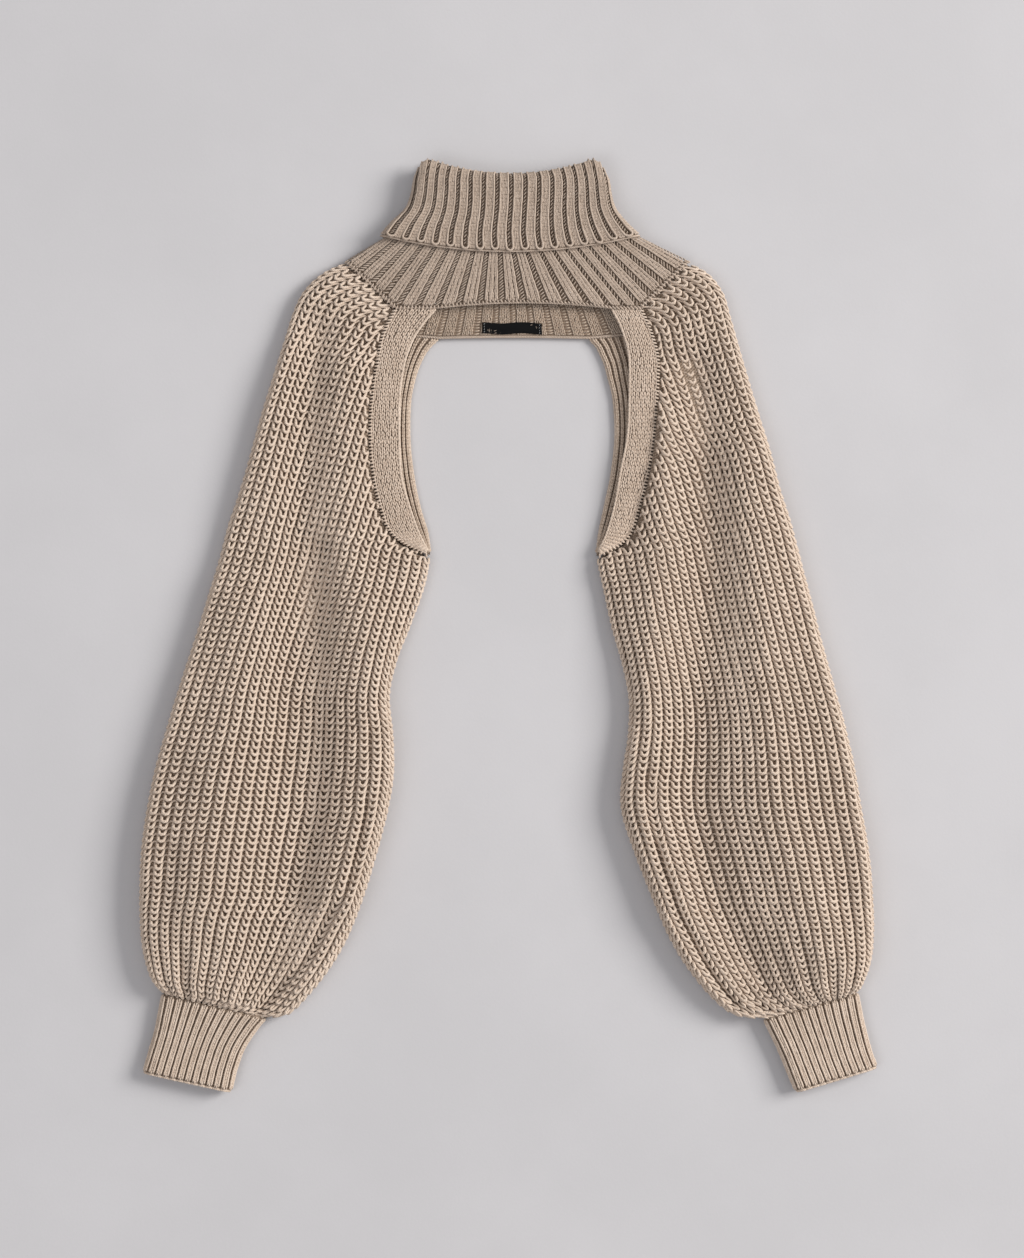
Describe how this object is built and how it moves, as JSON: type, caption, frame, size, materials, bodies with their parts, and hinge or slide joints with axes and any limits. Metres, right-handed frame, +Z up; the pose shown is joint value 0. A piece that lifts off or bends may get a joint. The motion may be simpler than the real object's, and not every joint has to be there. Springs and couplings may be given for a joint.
{
  "type": "knitted shrug",
  "caption": "Knitted shrug laid flat: a turned-down ribbed neck on a short yoke, an open front and back between two balloon sleeves, and ribbed cuffs.",
  "frame": {"origin": "centre of the garment's outline, on the surface it lies on", "axes": "+Z up out of the front as it lies, +Y towards the neck, +X towards the sleeve on the right as seen from above"},
  "size_m": [0.6642, 0.8389, 0.0267],
  "materials": {
    "collar": "matt oatmeal wool blend in wide ribs, two or three fine stitches to a rib",
    "yoke": "matt oatmeal wool blend in wide ribs that fan out",
    "sleeve": "matt oatmeal wool blend in chunky upright V stitches, lighter and darker fibres mixed",
    "cuff": "matt oatmeal wool blend in a fine tight rib",
    "band_front": "matt oatmeal wool blend, fine knit with a rolled edge",
    "band_back": "matt oatmeal wool blend, fine knit with narrow ribs",
    "label": "plain black woven strip"
  },
  "bodies": {
    "root": {"collar": "collar", "yoke": "yoke", "sleeve_front_left": "sleeve", "sleeve_back_left": "sleeve", "sleeve_front_right": "sleeve", "sleeve_back_right": "sleeve", "cuff_left": "cuff", "cuff_right": "cuff", "band_front_left": "band_front", "band_front_right": "band_front", "band_back_left": "band_back", "band_back_right": "band_back", "label": "label"}
  },
  "joints": []
}
